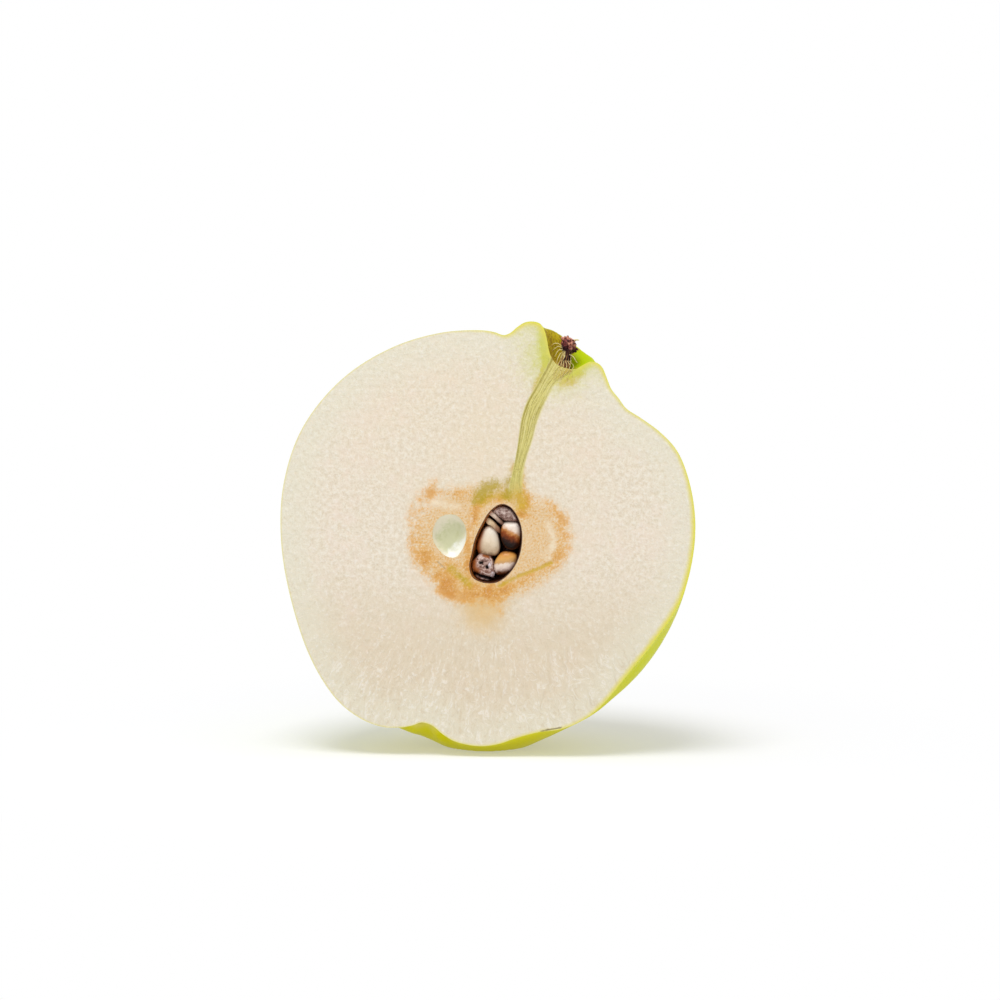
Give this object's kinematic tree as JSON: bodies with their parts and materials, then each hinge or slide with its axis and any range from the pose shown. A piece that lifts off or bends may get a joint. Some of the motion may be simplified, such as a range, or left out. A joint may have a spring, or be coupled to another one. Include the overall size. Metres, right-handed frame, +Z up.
{
  "type": "quince half",
  "caption": "Half of a quince cut lengthwise, standing on a small flat spot, with its open seed cavity, loose seeds and a dried stem stub in the pit.",
  "frame": {"origin": "centre of the bounding box's underside, in the plane of the flat spot that the half stands on", "axes": "+Z up from the flat spot, towards the stem end; +Y from the cut face into the fruit; +X to the right as the cut face is seen. The cut face leans back 4 degrees."},
  "size_m": [0.0858, 0.042, 0.0896],
  "materials": {
    "flesh": "moist, finely granular cream flesh, semi-matte",
    "skin": "smooth waxy yellow-green peel with a soft gloss",
    "seed": "smooth brown seed coat, cream where it was sliced, with dried gum",
    "stem": "dry, ragged and matte"
  },
  "bodies": {
    "root": {"half_fruit": "flesh", "seed_1": "seed", "seed_2": "seed", "seed_3": "seed", "seed_4": "seed", "seed_5": "seed", "seed_6": "seed", "seed_7": "seed", "seed_8": "seed", "stem_stub": "stem"}
  },
  "joints": []
}
